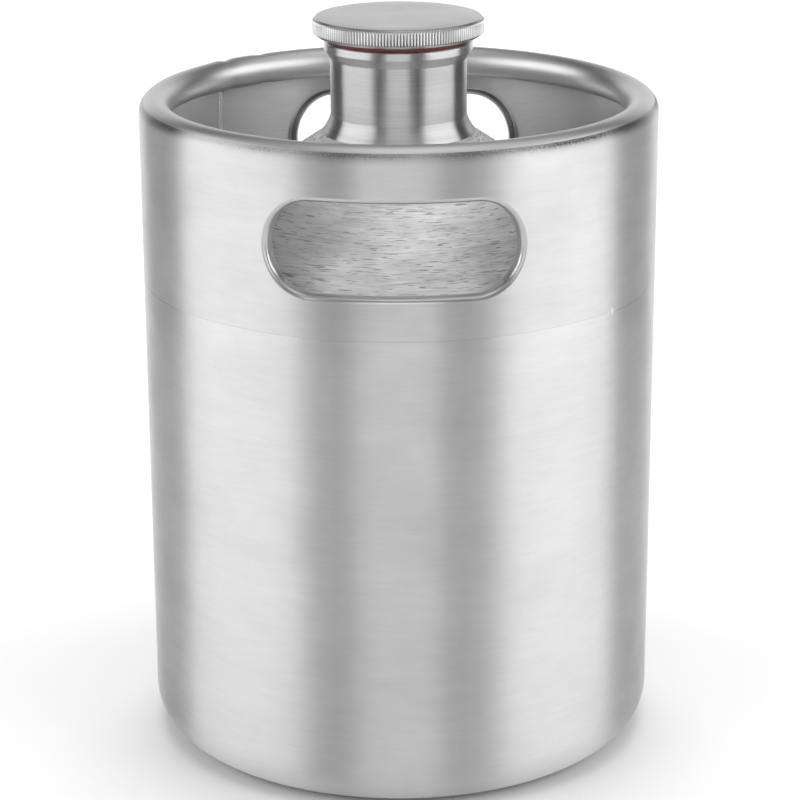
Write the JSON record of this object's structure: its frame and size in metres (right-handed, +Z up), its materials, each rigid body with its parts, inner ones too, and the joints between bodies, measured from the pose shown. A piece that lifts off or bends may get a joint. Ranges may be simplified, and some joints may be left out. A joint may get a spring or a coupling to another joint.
{
  "type": "mini keg",
  "caption": "Small brushed steel keg with a welded handle collar, a threaded neck and a knurled screw cap with a silicone seal.",
  "frame": {"origin": "centre of the ring that the keg stands on, at floor height", "axes": "+Z up along the keg's axis, towards the cap; -Y towards the front handle opening, +Y towards the rear one"},
  "size_m": [0.162, 0.162, 0.2324],
  "materials": {
    "brushed_steel": "satin, brushed round the girth",
    "turned_steel": "fine turned",
    "weld_steel": "ground flush",
    "silicone": "matt"
  },
  "bodies": {
    "keg": {"base_dish": "brushed_steel", "base_weld": "weld_steel", "body_shell": "brushed_steel", "body_seam_weld": "weld_steel", "girth_weld": "weld_steel", "shoulder_dome": "brushed_steel", "neck_weld": "weld_steel", "neck": "turned_steel", "handle_collar": "brushed_steel", "collar_seam_weld": "weld_steel"},
    "seal": {"cap_seal": "silicone"},
    "cap": {"cap_disc": "turned_steel", "cap_plug": "turned_steel"}
  },
  "joints": [
    {"name": "cap_rise", "type": "slide", "parent": "keg", "child": "seal", "axis": [0, 0, 1], "range_m": [0, 0.012]},
    {"name": "cap_turn", "type": "hinge", "parent": "seal", "child": "cap", "pos_m": [0, 0, 0.2324], "axis": [0, 0, 1], "range_deg": [0, 1080]}
  ],
  "couplings": [
    {"joint": "cap_rise", "follows": "cap_turn", "m_per_rad": 0.0006366}
  ]
}
